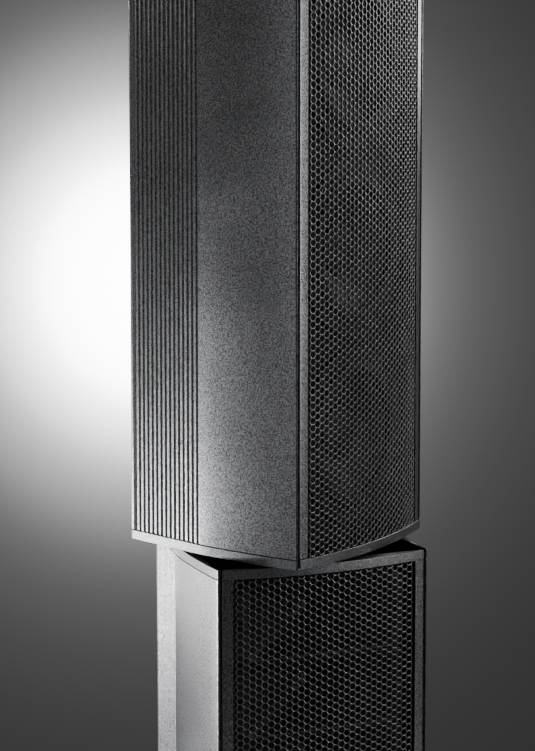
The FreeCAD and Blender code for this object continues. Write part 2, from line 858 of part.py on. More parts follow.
def woofer_screws():
    body = new_body("woofer_screws", "upper")
    profile = [
        ("0", "-(frame_face + driver_screw_rise)"),
        ("driver_screw_head", "-(frame_face + driver_screw_rise)"),
        ("driver_screw_head", "-frame_face"),
        ("driver_screw", "-frame_face"),
        ("driver_screw", "-driver_screw_end"),
        ("0", "-driver_screw_end"),
    ]
    for x in ("-driver_screw_offset", "driver_screw_offset"):
        for z in ("-driver_screw_offset", "driver_screw_offset"):
            add_turned(body, profile, "Y_Axis", x, z=f"{WOOFER_BASE} + {z}")
    screws = [item for item in body.Group if item.TypeId == "PartDesign::Revolution"]
    add_row(body, screws, "woofer_count", "woofer_pitch")


def cut_driver_holes(label, centre_hole=None):
    """Screw holes, and a basket hole where there is one, repeated at each driver."""
    body = doc.getObject(label)
    cuts = []
    hole = tube_profile("0", "driver_screw", "-(frame_face + baffle_back)", "0")
    for x in ("-driver_screw_offset", "driver_screw_offset"):
        for z in ("-driver_screw_offset", "driver_screw_offset"):
            cuts.append(add_turned(body, hole, "Y_Axis", x, z=f"{WOOFER_BASE} + {z}", cut=True))
    if centre_hole:
        round_hole = tube_profile("0", centre_hole, "-(frame_face + baffle_back)", "0")
        cuts.append(add_turned(body, round_hole, "Y_Axis", z=WOOFER_BASE, cut=True))
    add_row(body, cuts, "woofer_count", "woofer_pitch")


# High-frequency units

UNIT_BASE = f"({SHELL_BASE} + unit_margin + unit_pitch / 2)"


def unit_piece(label, profile):
    """One turned piece of each of the eight units. The profile's second number is forward."""
    body = new_body(label, "lower")
    corners = [(corner[0], f"-({corner[1]})", *corner[2:]) for corner in profile]
    turned = add_turned(body, corners, "Y_Axis", z=UNIT_BASE)
    add_row(body, [turned], "unit_count", "unit_pitch")
    return body


def add_flare(body, kind, mouth_x, mouth_z, throat, mouth_front, throat_front):
    """A rectangular flare from its mouth, at mouth_front, back to a square throat."""
    flare = body.newObject(f"PartDesign::{kind}Wedge", f"{body.Name}_flare")
    bind(flare, Xmin=f"-({mouth_x})", Xmax=mouth_x, Zmin=f"-({mouth_z})", Zmax=mouth_z,
         X2min=f"-({throat})", X2max=throat, Z2min=f"-({throat})", Z2max=throat,
         Ymin=f"-({mouth_front})", Ymax=f"-({throat_front})")
    flare.setExpression("Placement.Base.z", formula(UNIT_BASE))
    return flare


def horns():
    body = new_body("hf_horns", "lower")
    solids = [
        add_flare(body, "Additive", "mouth_x + horn_wall", "mouth_z + horn_wall",
                  "throat + horn_wall", "frame_face", "throat_front"),
        add_block(body, "Additive", ("-horn_flange_x", "horn_flange_x"),
                  ("-frame_face", "-baffle_front"),
                  (f"{UNIT_BASE} - horn_flange_z", f"{UNIT_BASE} + horn_flange_z")),
        add_turned(body, tube_profile("0", "throat_ring", "-throat_front", "-driver_front"),
                   "Y_Axis", z=UNIT_BASE),
    ]
    throat_hole = tube_profile("0", "throat", f"-(2 * throat_front)", "0")
    cuts = [
        add_flare(body, "Subtractive", "mouth_x", "mouth_z", "throat", "frame_face",
                  "throat_front"),
        add_turned(body, throat_hole, "Y_Axis", z=UNIT_BASE, cut=True),
    ]
    screw_hole = tube_profile("0", "horn_screw", "-(frame_face + baffle_back)", "0")
    for x in ("-horn_screw_x", "horn_screw_x"):
        cuts.append(add_turned(body, screw_hole, "Y_Axis", x, z=UNIT_BASE, cut=True))
    add_row(body, solids + cuts, "unit_count", "unit_pitch")

    unit_piece("hf_throat_plugs", [
        ("0", "plug_tip"),
        ("plug_waist", "plug_waist_front"),
        ("plug_radius", "driver_front"),
        ("0", "driver_front"),
    ])
    unit_piece("hf_driver_magnets", [
        ("0", "driver_front"),
        ("hf_magnet_radius", "driver_front"),
        ("hf_magnet_radius", "-hf_magnet_back"),
        ("0", "-hf_magnet_back"),
    ])
    unit_piece("hf_driver_caps", [
        ("0", "-hf_magnet_back"),
        ("hf_cap_radius", "-hf_magnet_back"),
        ("hf_cap_radius", "-(hf_cap_back - hf_cap_round)", "hf_cap_round", -1),
        ("hf_cap_radius - hf_cap_round", "-hf_cap_back"),
        ("0", "-hf_cap_back"),
    ])

    screws = new_body("horn_screws", "lower")
    profile = [
        ("0", "-(frame_face + horn_screw_rise)"),
        ("horn_screw_head", "-(frame_face + horn_screw_rise)"),
        ("horn_screw_head", "-frame_face"),
        ("horn_screw", "-frame_face"),
        ("horn_screw", "-driver_screw_end"),
        ("0", "-driver_screw_end"),
    ]
    pair = [
        add_turned(screws, profile, "Y_Axis", x, z=UNIT_BASE)
        for x in ("-horn_screw_x", "horn_screw_x")
    ]
    add_row(screws, pair, "unit_count", "unit_pitch")


def lower_baffle_openings():
    body = doc.getObject("lower_baffle")
    depth = ("-2 * baffle_front", "0")
    width = ("-baffle_window_x", "baffle_window_x")
    height = (f"{SHELL_BASE} + unit_margin",
              f"{SHELL_BASE} + {LOWER_LENGTH} - unit_margin")
    add_block(body, "Subtractive", width, depth, height)
    hole = tube_profile("0", "horn_screw", "-(2 * baffle_front)", "0")
    cuts = [
        add_turned(body, hole, "Y_Axis", x, z=UNIT_BASE, cut=True)
        for x in ("-horn_screw_x", "horn_screw_x")
    ]
    add_row(body, cuts, "unit_count", "unit_pitch")


# Swivel between the modules

def swivel():
    ring = new_body("swivel_base_ring", "lower")
    add_turned(ring, tube_profile("ring_inner", "ring_outer", "0", "ring_rise"), "Z_Axis",
               z=LOWER_PLATE_TOP)
    play = "plate_screw_play"
    hole = countersunk(f"(ring_screw_head + {play})", f"(ring_screw + {play})",
                       "ring_screw_length", -1)
    ring_top = f"{LOWER_PLATE_TOP} + ring_rise"
    cut = add_turned(ring, hole, "Z_Axis", "ring_screw_circle", z=ring_top, cut=True)
    add_circle_of(ring, [cut], 6)

    screws = new_body("swivel_ring_screws", "lower")
    profile = countersunk("ring_screw_head", "ring_screw", "ring_screw_length", -1)
    screw = add_turned(screws, profile, "Z_Axis", "ring_screw_circle", z=ring_top)
    add_circle_of(screws, [screw], 6)

    washer = new_body("swivel_thrust_washer", "lower")
    washer_profile = tube_profile("ring_inner", "ring_outer", "0", "swivel_gap - ring_rise")
    add_turned(washer, washer_profile, "Z_Axis", z=ring_top)

    bush = new_body("swivel_bush", "lower")
    bore = "spindle + spindle_play"
    add_turned(bush, [
        (bore, "-(plate + bush_flange_rise)"),
        ("bush_flange", "-(plate + bush_flange_rise)"),
        ("bush_flange", "-plate"),
        ("bush_outer", "-plate"),
        ("bush_outer", "0"),
        (bore, "0"),
    ], "Z_Axis", z=LOWER_PLATE_TOP)

    spring_top = "-(plate + bush_flange_rise)"
    spring = new_body("swivel_disc_spring", "upper")
    lift = f"-swivel_gap + ({spring_top})"
    add_turned(spring, [
        ("spindle + nut_clear", f"{lift} - spring_rise"),
        ("bush_flange", f"{lift} - spring_dish - spring_sheet"),
        ("bush_flange", f"{lift} - spring_dish"),
        ("spindle + nut_clear", f"{lift} - spring_rise + spring_sheet"),
    ], "Z_Axis")

    nut = new_body("swivel_nut", "upper")
    nut_top = f"{lift} - spring_rise"
    sketch = new_sketch(nut, z=f"{nut_top} - nut_rise")
    add_loop(sketch, [
        (f"nut_reach * cos({60 * corner})", f"nut_reach * sin({60 * corner})")
        for corner in range(6)
    ])
    add_circle(sketch, "0", "0", "spindle")
    add_pad(nut, sketch, "nut_rise")

    spindle = new_body("swivel_spindle", "upper")
    add_turned(spindle, [
        ("spindle_bore", f"{nut_top} - nut_rise"),
        ("spindle", f"{nut_top} - nut_rise"),
        ("spindle", "plate"),
        ("spindle_flange", "plate"),
        ("spindle_flange", "plate + spindle_flange_rise"),
        ("spindle_bore", "plate + spindle_flange_rise"),
    ], "Z_Axis")
    hole = tube_profile("0", "spindle_screw", "0", "2 * plate")
    cut = add_turned(spindle, hole, "Z_Axis", "spindle_screw_circle", z="plate", cut=True)
    add_circle_of(spindle, [cut], 6)

    screws = new_body("swivel_spindle_screws", "upper")
    flange_top = "plate + spindle_flange_rise"
    screw = add_turned(screws, [
        ("0", "-2 * spindle_flange_rise"),
        ("spindle_screw", "-2 * spindle_flange_rise"),
        ("spindle_screw", "0"),
        ("spindle_screw_head", "0"),
        ("spindle_screw_head", "spindle_screw_rise"),
        ("0", "spindle_screw_rise"),
    ], "Z_Axis", "spindle_screw_circle", z=flange_top)
    add_circle_of(screws, [screw], 6)


def bore_plate(label, radius, base, ring_radius, ring_circle):
    """The spindle's hole in an end plate and a circle of six screw holes round it."""
    body = doc.getObject(label)
    add_turned(body, tube_profile("0", radius, "0", "plate"), "Z_Axis", z=base, cut=True)
    hole = tube_profile("0", ring_radius, "0", "plate")
    cut = add_turned(body, hole, "Z_Axis", ring_circle, z=base, cut=True)
    add_circle_of(body, [cut], 6)


# Assembly

def build_module(module):
    shell(module)
    seam_gaskets(module)
    plate_screws(module)
    trim(f"{module}_trim_left", module, -1)
    trim(f"{module}_trim_right", module, 1)
    grille(module)
    grille_edging(module)
    baffle(module)
    crossover(module)
    terminals(module)
    wadding(module)


def build_plates():
    lower_top = f"{LOWER_PLATE_TOP} - plate"
    upper_top = f"plate + 2 * seam + {UPPER_LENGTH}"
    corners = [(x, y) for x in ("-base_insert_offset", "base_insert_offset")
               for y in ("-base_insert_offset", "base_insert_offset")]
    circle = [("rig_insert_circle", "0"), ("0", "rig_insert_circle"),
              ("-rig_insert_circle", "0"), ("0", "-rig_insert_circle")]
    end_plate("lower_bottom_plate", "lower", "0", "0", 1, corners)
    end_plate("lower_top_plate", "lower", lower_top, f"{lower_top} + plate", -1)
    end_plate("upper_bottom_plate", "upper", "0", "0", 1)
    end_plate("upper_top_plate", "upper", upper_top, f"{upper_top} + plate", -1, circle)
    bore_plate("lower_top_plate", "bush_outer", lower_top, "ring_screw", "ring_screw_circle")
    bore_plate("upper_bottom_plate", "spindle", "0", "spindle_screw", "spindle_screw_circle")
    plate_inserts("base_inserts", "lower", "0", corners)
    plate_inserts("rigging_inserts", "upper", upper_top, circle)


def check_model():
    faults = [
        item.Name for item in doc.Objects
        if {"Invalid", "Error"} & set(item.State)
    ]
    faults += [
        node.Label for node in nodes
        if node.Shape.isNull() or not node.Shape.isValid() or not node.Shape.Solids
    ]
    if faults:
        raise RuntimeError(f"failed: {', '.join(faults)}")


def export_nodes():
    os.makedirs("parts", exist_ok=True)
    for node in nodes:
        node.Shape.exportStep(f"parts/{node.Label}.step")
        box = node.Shape.BoundBox
        print(f"{node.Label:32} solids {len(node.Shape.Solids):3} volume {node.Shape.Volume:12.0f}"
              f"  z {box.ZMin:8.1f} {box.ZMax:8.1f}")
    print(len(nodes), "nodes")


fill_sheet()
build_module("lower")
build_module("upper")
build_plates()
rear_inserts()
woofers()
woofer_screws()
cut_driver_holes("woofer_frames")
cut_driver_holes("upper_baffle", "basket_hole")
horns()
lower_baffle_openings()
swivel()
doc.recompute()
check_model()
export_nodes()
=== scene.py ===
import json
import math

import bmesh
import bpy
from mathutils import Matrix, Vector

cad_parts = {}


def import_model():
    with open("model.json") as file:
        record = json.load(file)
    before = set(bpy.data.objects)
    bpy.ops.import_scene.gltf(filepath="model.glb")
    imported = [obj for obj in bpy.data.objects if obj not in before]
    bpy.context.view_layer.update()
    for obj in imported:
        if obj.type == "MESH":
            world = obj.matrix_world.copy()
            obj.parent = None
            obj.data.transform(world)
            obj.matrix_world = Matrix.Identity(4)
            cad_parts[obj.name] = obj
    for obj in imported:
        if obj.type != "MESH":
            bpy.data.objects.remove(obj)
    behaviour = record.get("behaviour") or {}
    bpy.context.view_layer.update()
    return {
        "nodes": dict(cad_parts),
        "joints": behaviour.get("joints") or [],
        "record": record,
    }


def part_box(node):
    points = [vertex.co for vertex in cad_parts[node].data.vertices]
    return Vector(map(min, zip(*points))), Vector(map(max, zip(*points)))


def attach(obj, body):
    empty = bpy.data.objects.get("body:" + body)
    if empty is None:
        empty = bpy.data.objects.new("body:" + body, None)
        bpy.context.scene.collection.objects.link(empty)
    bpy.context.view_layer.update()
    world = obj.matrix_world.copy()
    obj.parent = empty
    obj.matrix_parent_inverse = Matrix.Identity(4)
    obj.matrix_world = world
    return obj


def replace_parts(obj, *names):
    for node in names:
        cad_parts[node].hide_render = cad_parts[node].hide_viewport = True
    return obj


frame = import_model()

NODES = frame["nodes"]
JOINTS = {joint["name"]: joint for joint in frame["joints"]}
CONE_AXIS = Vector(JOINTS["cone_travel"]["axis"])
REST_SWIVEL = math.degrees(math.atan2(CONE_AXIS.x, -CONE_AXIS.y))
MM = 0.001


# Materials

def new_material(name, colour, roughness, metallic=0.0):
    """A Principled material. Values that are the same all over sit on its own sockets."""
    material = bpy.data.materials.new(name)
    material.use_nodes = True
    shader = material.node_tree.nodes["Principled BSDF"]
    shader.inputs["Base Color"].default_value = (*colour, 1)
    shader.inputs["Roughness"].default_value = roughness
    shader.inputs["Metallic"].default_value = metallic
    return material


def shader_of(material):
    return material.node_tree.nodes["Principled BSDF"]


def add_noise(material, scale, detail=2.0, stretch=(1, 1, 1)):
    """A noise in the row's own coordinates, in metres; scale is features per metre."""
    tree = material.node_tree
    where = tree.nodes.new("ShaderNodeTexCoord")
    mapping = tree.nodes.new("ShaderNodeMapping")
    mapping.inputs["Scale"].default_value = stretch
    noise = tree.nodes.new("ShaderNodeTexNoise")
    noise.inputs["Scale"].default_value = scale
    noise.inputs["Detail"].default_value = detail
    tree.links.new(where.outputs["Object"], mapping.inputs["Vector"])
    tree.links.new(mapping.outputs["Vector"], noise.inputs["Vector"])
    return noise.outputs["Fac"]


def vary(material, socket, source, low, high, start=0.3, stop=0.7):
    """Drives a socket from a noise: a colour between two colours, or a value between two."""
    tree = material.node_tree
    ramp = tree.nodes.new("ShaderNodeMapRange")
    ramp.inputs["From Min"].default_value = start
    ramp.inputs["From Max"].default_value = stop
    tree.links.new(source, ramp.inputs["Value"])
    target = shader_of(material).inputs[socket]
    if isinstance(low, tuple):
        mix = tree.nodes.new("ShaderNodeMix")
        mix.data_type = "RGBA"
        mix.inputs["A"].default_value = (*low, 1)
        mix.inputs["B"].default_value = (*high, 1)
        tree.links.new(ramp.outputs["Result"], mix.inputs["Factor"])
        tree.links.new(mix.outputs["Result"], target)
        return
    ramp.inputs["To Min"].default_value = low
    ramp.inputs["To Max"].default_value = high
    tree.links.new(ramp.outputs["Result"], target)


def add_bump(material, source, height, strength=1.0):
    tree = material.node_tree
    bump = tree.nodes.new("ShaderNodeBump")
    bump.inputs["Distance"].default_value = height
    bump.inputs["Strength"].default_value = strength
    tree.links.new(source, bump.inputs["Height"])
    tree.links.new(bump.outputs["Normal"], shader_of(material).inputs["Normal"])


def powder_coat():
    """Anthracite metallic powder coat: a grainy skin with fine bright flecks."""
    material = new_material("powder_coat", (0.1, 0.102, 0.107), 0.29, 0.92)
    grain = add_noise(material, 800, 2)
    cloud = add_noise(material, 14, 2)
    vary(material, "Base Color", grain, (0.05, 0.051, 0.054), (0.23, 0.232, 0.24), 0.38, 0.64)
    vary(material, "Roughness", cloud, 0.27, 0.31)
    add_bump(material, grain, 0.0003, 0.15)
    return material


def grille_coat():
    material = new_material("grille_coat", (0.1, 0.1, 0.103), 0.3, 0.92)
    grain = add_noise(material, 2600, 2)
    cloud = add_noise(material, 20, 2)
    vary(material, "Base Color", cloud, (0.09, 0.09, 0.093), (0.12, 0.12, 0.123))
    vary(material, "Roughness", cloud, 0.28, 0.34)
    add_bump(material, grain, 0.0001, 0.4)
    return material


def plate_coat():
    """The same coat on the end plates, where machined edges leave it finer."""
    material = new_material("plate_coat", (0.09, 0.092, 0.097), 0.36, 0.9)
    grain = add_noise(material, 1000, 2)
    cloud = add_noise(material, 18, 2)
    vary(material, "Base Color", grain, (0.035, 0.036, 0.038), (0.18, 0.182, 0.19), 0.36, 0.64)
    vary(material, "Roughness", cloud, 0.34, 0.4)
    add_bump(material, grain, 0.0002, 0.15)
    return material


def matt_black(name, low, high, roughness, grain_scale, depth, gloss=0.5):
    material = new_material(name, low, roughness)
    shader_of(material).inputs["Specular IOR Level"].default_value = gloss
    grain = add_noise(material, grain_scale, 3)
    cloud = add_noise(material, 25, 3)
    vary(material, "Base Color", cloud, low, high)
    vary(material, "Roughness", grain, roughness - 0.06, roughness + 0.06)
    add_bump(material, grain, depth, 0.5)
    return material


def metal(name, low, high, roughness, stretch=(1, 1, 1), scale=400):
    material = new_material(name, low, roughness, 1.0)
    brushing = add_noise(material, scale, 4, stretch)
    cloud = add_noise(material, 60, 3)
    vary(material, "Base Color", cloud, low, high)
    vary(material, "Roughness", brushing, roughness - 0.08, roughness + 0.08)
    add_bump(material, brushing, 0.00005, 0.4)
    return material


def cloth(name, low, high, threads):
    """A woven or felted surface from two crossed waves of threads per metre."""
    material = new_material(name, low, 0.9)
    tree = material.node_tree
    where = tree.nodes.new("ShaderNodeTexCoord")
    waves = []
    for direction in ("X", "Z"):
        wave = tree.nodes.new("ShaderNodeTexWave")
        wave.bands_direction = direction
        wave.inputs["Scale"].default_value = threads / 20
        tree.links.new(where.outputs["Object"], wave.inputs["Vector"])
        waves.append(wave.outputs["Fac"])
    weave = tree.nodes.new("ShaderNodeMath")
    weave.operation = "MAXIMUM"
    tree.links.new(waves[0], weave.inputs[0])
    tree.links.new(waves[1], weave.inputs[1])
    vary(material, "Base Color", weave.outputs["Value"], low, high, 0.2, 0.9)
    add_bump(material, weave.outputs["Value"], 0.0003, 0.6)
    return material


PLATE_COAT = plate_coat()
MATERIALS = {
    "powder_coat": powder_coat(),
    "grille_coat": grille_coat(),
    "rubber": matt_black("rubber", (0.006, 0.006, 0.006), (0.011, 0.011, 0.011), 0.62, 1500, 0.0001,
                         0.15),
    "baffle_coat": matt_black("baffle_coat", (0.004, 0.004, 0.004), (0.008, 0.008, 0.008), 0.6,
                              1200, 0.0002, 0.1),
    "zinc_steel": metal("zinc_steel", (0.5, 0.5, 0.5), (0.62, 0.62, 0.63), 0.32),
    "black_steel": metal("black_steel", (0.03, 0.03, 0.03), (0.06, 0.06, 0.06), 0.36),
    "circuit_board": matt_black("circuit_board", (0.01, 0.09, 0.03), (0.02, 0.13, 0.05), 0.4,
                                900, 0.0001),
    "wound_parts": metal("wound_parts", (0.4, 0.14, 0.05), (0.55, 0.24, 0.1), 0.35, (1, 1, 12)),
    "block_plastic": matt_black("block_plastic", (0.018, 0.018, 0.018), (0.028, 0.028, 0.029),
                                0.42, 1600, 0.0001),
    "wadding": cloth("wadding", (0.62, 0.62, 0.6), (0.8, 0.8, 0.78), 900),
    "horn_plastic": matt_black("horn_plastic", (0.006, 0.006, 0.006), (0.01, 0.01, 0.01),
                               0.45, 1400, 0.0001, 0.15),
    "bright_aluminium": metal("bright_aluminium", (0.8, 0.8, 0.81), (0.9, 0.9, 0.91), 0.34,
                              (1, 6, 1)),
    "ferrite": matt_black("ferrite", (0.03, 0.03, 0.032), (0.055, 0.055, 0.058), 0.6, 700, 0.0003),
    "slide_plastic": matt_black("slide_plastic", (0.78, 0.78, 0.74), (0.84, 0.84, 0.8), 0.45,
                                900, 0.00005),
    "bronze": metal("bronze", (0.45, 0.28, 0.12), (0.55, 0.36, 0.17), 0.4),
    "cast_coat": matt_black("cast_coat", (0.006, 0.006, 0.006), (0.012, 0.012, 0.012), 0.52, 600,
                            0.0003, 0.15),
    "spider_cloth": cloth("spider_cloth", (0.3, 0.2, 0.08), (0.5, 0.36, 0.16), 700),
    "cone_pulp": matt_black("cone_pulp", (0.008, 0.008, 0.008), (0.016, 0.016, 0.016), 0.6, 500,
                            0.0004, 0.1),
}


SLOTS = {entry["node"]: entry["material_slot"] for entry in frame["record"]["subparts"]}
BODIES = {
    node: body for body, members in frame["record"]["behaviour"]["bodies"].items()
    for node in members
}


def finish_nodes():
    """Every CAD node takes its record slot's material."""
    for node, slot_name in SLOTS.items():
        materials = NODES[node].data.materials
        materials.clear()
        materials.append(MATERIALS[slot_name])


def add_piece(name, mesh, node, material=None):
    """A piece in a CAD node's place, on the same body and with the same material slot."""
    piece = bpy.data.objects.new(name, mesh)
    bpy.context.scene.collection.objects.link(piece)
    mesh.materials.clear()
    mesh.materials.append(material or MATERIALS[SLOTS[node]])
    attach(piece, BODIES[node])
    return piece


# Rounded edges

SHARP = math.radians(25)      # edges that are rounded where there is room
SHARPER = math.radians(60)    # edges that stay sharp where there is none
ROOM = 2.5                    # widths of the rounding that a face beside it needs
FLAT = math.radians(0.5)


def rounded(node, width, segments=2, material=None):
    """Stands a copy of a CAD node in its place. Sharp edges with room beside them are rounded."""
    mesh = NODES[node].data.copy()
    work = bmesh.new()
    work.from_mesh(mesh)
    bmesh.ops.remove_doubles(work, verts=work.verts, dist=2e-6)
    bmesh.ops.dissolve_limit(work, angle_limit=FLAT, verts=work.verts, edges=work.edges)
    weights = work.edges.layers.float.new("bevel_weight_edge")
    for face in work.faces:
        face.smooth = True
    for edge in work.edges:
        turn = edge.calc_face_angle(0)
        if turn < SHARP:
            continue
        room = min(face.calc_area() for face in edge.link_faces) / edge.calc_length()
        edge[weights] = 1 if room > ROOM * width else 0
        edge.smooth = turn < SHARPER or room > ROOM * width
    work.to_mesh(mesh)
    work.free()
    if mesh.has_custom_normals:
        mesh.attributes.remove(mesh.attributes["custom_normal"])
    piece = add_piece(f"{node}_rounded", mesh, node, material)
    bevel = piece.modifiers.new("rounding", "BEVEL")
    bevel.width = width
    bevel.segments = segments
    bevel.limit_method = "WEIGHT"
    bevel.use_clamp_overlap = False
    evened = piece.modifiers.new("evened", "WEIGHTED_NORMAL")
    evened.keep_sharp = True
    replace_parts(piece, node)


def round_off():
    for module in ("lower", "upper"):
        rounded(f"{module}_shell", 0.35 * MM)
        rounded(f"{module}_trim_left", 0.4 * MM)
        rounded(f"{module}_trim_right", 0.4 * MM)
        rounded(f"{module}_top_plate", 0.5 * MM, 3, PLATE_COAT)
        rounded(f"{module}_bottom_plate", 0.5 * MM, 3, PLATE_COAT)
        rounded(f"{module}_terminal_plate", 0.4 * MM)


# Turned and lofted pieces

STEPS = 48


def oval(across, up=None, power=2.0):
    """Points round an oval. A higher power squares it up towards a rectangle."""
    up = across if up is None else up
    points = []
    for step in range(STEPS):
        turn = 2 * math.pi * step / STEPS
        x, z = math.cos(turn), math.sin(turn)
        points.append((math.copysign(abs(x) ** (2 / power), x) * across,
                       math.copysign(abs(z) ** (2 / power), z) * up))
    return points


def lobed(radius):
    """Points round a six-lobed screwdriver socket."""
    points = []
    for step in range(STEPS):
        turn = 2 * math.pi * step / STEPS
        reach = radius * (1 + 0.13 * math.cos(6 * turn))
        points.append((reach * math.cos(turn), reach * math.sin(turn)))
    return points


def loft(work, rings, seat, axis, closed=False):
    """Joins rings of points, each at its own height along an axis from a seat."""
    side = Vector((0, 0, 1)).cross(axis)
    side = side.normalized() if side.length > 0.1 else Vector((1, 0, 0))
    up = axis.cross(side)
    rows = []
    for points, height in rings:
        rows.append([work.verts.new(seat + axis * height + side * x + up * z) for x, z in points])
    pairs = list(zip(rows, rows[1:] + rows[:1]))
    for first, second in pairs if closed else pairs[:-1]:
        for a in range(STEPS):
            b = (a + 1) % STEPS
            work.faces.new((first[a], first[b], second[b], second[a]))
    if not closed:
        work.faces.new(rows[0][::-1])
        work.faces.new(rows[-1])


def finished(name, work, node):
    """Closes a bmesh into a piece that stands for a CAD node, smooth up to its sharp edges."""
    bmesh.ops.recalc_face_normals(work, faces=work.faces)
    for face in work.faces:
        face.smooth = True
    mesh = bpy.data.meshes.new(name)
    work.to_mesh(mesh)
    work.free()
    mesh.set_sharp_from_angle(angle=math.radians(40))
    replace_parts(add_piece(name, mesh, node), node)


def solids_of(node):
    """The vertices of each separate solid in a CAD node."""
    work = bmesh.new()
    work.from_mesh(NODES[node].data)
    bmesh.ops.remove_doubles(work, verts=work.verts, dist=2e-6)
    groups = []
    for start in work.verts:
        if start.tag:
            continue
        start.tag = True
        queue = [start]
        group = []
        while queue:
            vert = queue.pop()
            group.append(vert.co.copy())
            for edge in vert.link_edges:
                other = edge.other_vert(vert)
                if not other.tag:
                    other.tag = True
                    queue.append(other)
        groups.append(group)
    work.free()
    return groups


def along(group, axis):
    """Where a solid of revolution starts and how long it is, with its vertices' radii."""
    low = Vector(tuple(min(co[i] for co in group) for i in range(3)))
    high = Vector(tuple(max(co[i] for co in group) for i in range(3)))
    middle = (low + high) / 2
    heights = [(co - middle).dot(axis) for co in group]
    seat = middle + axis * min(heights)
    radii = [((co - seat) - axis * (co - seat).dot(axis)).length for co in group]
    return seat, max(heights) - min(heights), radii, [height - min(heights) for height in heights]


# Fasteners

def head_rings(radius, length, rise, slotted):
    shank = 0.52 * radius
    drive = oval(0.8 * radius, 0.16 * radius, 8) if slotted else lobed(0.46 * radius)
    sunk = length - 0.55 * radius
    if rise < 0.05 * MM:
        head = [(oval(shank), length - radius + shank), (oval(radius), length - 0.12 * MM),
                (oval(radius - 0.12 * MM), length)]
    else:
        under = length - rise
        head = [(oval(shank), under), (oval(0.97 * radius), under),
                (oval(radius), under + 0.15 * rise), (oval(radius), length - 0.55 * rise),
                (oval(0.94 * radius), length - 0.25 * rise),
                (oval(0.84 * radius), length - 0.07 * rise), (oval(0.74 * radius), length)]
    return [(oval(shank), 0), *head, (drive, length), (drive, max(sunk, 0.3 * length))]


def fasteners(node, axis, slotted=False):
    """Screws with a drive socket in place of a node's plain ones. Without an axis they stand
    upright, with their heads at the module's nearer end."""
    groups = solids_of(node)
    middle = sum((co.z for group in groups for co in group)) / sum(len(group) for group in groups)
    work = bmesh.new()
    for group in groups:
        way = axis or Vector((0, 0, 1 if group[0].z > middle else -1))
        seat, length, radii, heights = along(group, way)
        radius = max(radii)
        rise = length - min(height for height, reach in zip(heights, radii) if reach > 0.9 * radius)
        loft(work, head_rings(radius, length, min(rise, length * 0.95), slotted), seat, way)
    finished(f"{node}_driven", work, node)


THREAD = 1.5 * MM


def inserts(node, axis):
    """Threaded inserts: a bevelled collar with a thread cut in its bore."""
    work = bmesh.new()
    for group in solids_of(node):
        seat, length, radii, _ = along(group, axis)
        outer = max(radii)
        bore = min(radii)
        edge = 0.3 * MM
        rings = [(oval(outer), 0), (oval(outer), length - edge), (oval(outer - edge), length),
                 (oval(bore + 2 * edge), length)]
        turns = int(length / THREAD)
        for turn in range(2 * turns):
            cut = 0.45 * MM if turn % 2 else 0
            rings.append((oval(bore + cut), length - edge - turn * THREAD / 2))
        rings.append((oval(bore), 0))
        loft(work, rings, seat, axis, closed=True)
    finished(f"{node}_threaded", work, node)


REAR = Vector((0, 1, 0))


def add_fasteners():
    for module, rear in (("lower", REAR), ("upper", -CONE_AXIS)):
        fasteners(f"{module}_plate_screws", None)
        fasteners(f"{module}_terminal_plate_screws", rear)
        fasteners(f"{module}_terminal_pole_screws", rear, slotted=True)
    fasteners("woofer_screws", CONE_AXIS)
    fasteners("horn_screws", -REAR)
    fasteners("swivel_ring_screws", Vector((0, 0, 1)))
    inserts("base_inserts", Vector((0, 0, -1)))
    inserts("rigging_inserts", Vector((0, 0, 1)))
    inserts("rear_inserts", REAR)


# Drivers and horns

CONE_SHEET = 1.2 * MM
ROLL_SHEET = 0.9 * MM


def cones():
    """Curved paper cones, with a rib pressed near the rim."""
    work = bmesh.new()
    for group in solids_of("woofer_cones"):
        seat, length, radii, _ = along(group, CONE_AXIS)
        rim, neck = max(radii), min(radii)
        front, back = [], []
        for step in range(17):
            share = step / 16
            reach = neck + (rim - neck) * share
            height = (length - CONE_SHEET) * share ** 1.18
            height += 0.5 * MM * math.exp(-((share - 0.86) / 0.03) ** 2)
            front.append((oval(reach), height + CONE_SHEET * 0.98))
            back.append((oval(reach), height))
        loft(work, back + front[::-1], seat, CONE_AXIS, closed=True)
    finished("woofer_cones_curved", work, "woofer_cones")


def surrounds():
    """Half-roll surrounds with a bonded lip outside."""
    work = bmesh.new()
    for group in solids_of("woofer_surrounds"):
        seat, length, radii, _ = along(group, CONE_AXIS)
        outer, inner = max(radii), min(radii)
        roll = 68.4 * MM
        middle = (roll + inner) / 2
        half = (roll - inner) / 2
        top = [(oval(outer), ROLL_SHEET), (oval(roll + 0.6 * MM), ROLL_SHEET)]
        under = [(oval(outer), 0), (oval(roll), 0)]
        for step in range(13):
            turn = math.pi * step / 12
            lift = math.sin(turn) * (length - ROLL_SHEET)
            reach = middle + half * math.cos(turn)
            under.append((oval(reach), lift * 0.98))
            top.append((oval(reach + ROLL_SHEET * 0.6 * math.cos(turn)), lift + ROLL_SHEET))
        loft(work, under + top[::-1], seat, CONE_AXIS, closed=True)
    finished("woofer_surrounds_rolled", work, "woofer_surrounds")


def flare_rings(mouth, throat, depth, start, wall):
    """Rings of a horn from its square mouth to its round throat."""
    rings = []
    for step in range(11):
        share = step / 10
        narrow = (1 - share) ** 1.6
        power = 2 + 12 * (1 - share) ** 1.5
        rings.append((oval(throat + (mouth[0] - throat) * narrow + wall,
                           throat + (mouth[1] - throat) * narrow + wall, power),
                      start - depth * share))
    return rings


HORN_MOUTH = (72.5 * MM, 33 * MM)
HORN_FLANGE = (84 * MM, 36.3 * MM)
HORN_WALL = 2 * MM
THROAT = 12 * MM


